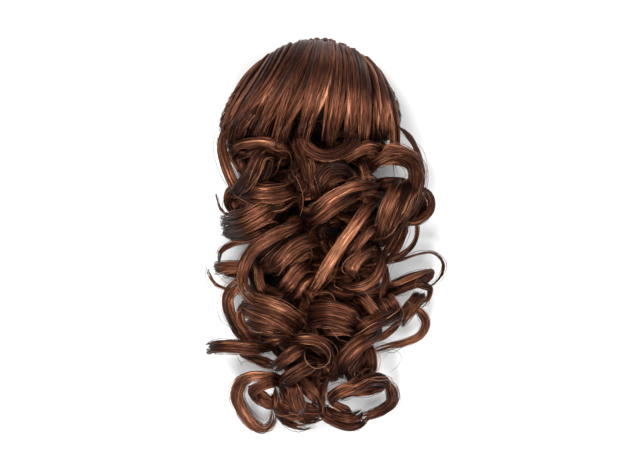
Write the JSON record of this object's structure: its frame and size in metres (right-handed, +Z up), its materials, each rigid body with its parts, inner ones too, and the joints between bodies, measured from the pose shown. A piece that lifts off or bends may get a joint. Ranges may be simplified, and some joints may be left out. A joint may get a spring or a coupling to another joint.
{
  "type": "claw clip ponytail hairpiece",
  "caption": "Curled brown clip-on ponytail lying hair side up, with a hollow combed crown over its claw clip.",
  "frame": {"origin": "middle of the flat underside that the hairpiece rests on", "axes": "+Z up from the surface, +Y from the curled tips to the crown, +X to the right seen from above"},
  "size_m": [0.1987, 0.3318, 0.0673],
  "materials": {
    "clip_plastic": "moulded, slightly glossy",
    "brown_hair": "curled synthetic hair with a satin sheen"
  },
  "bodies": {
    "root": {"claw_clip": "clip_plastic", "combed_crown": "brown_hair", "curled_lengths": "brown_hair"}
  },
  "joints": []
}
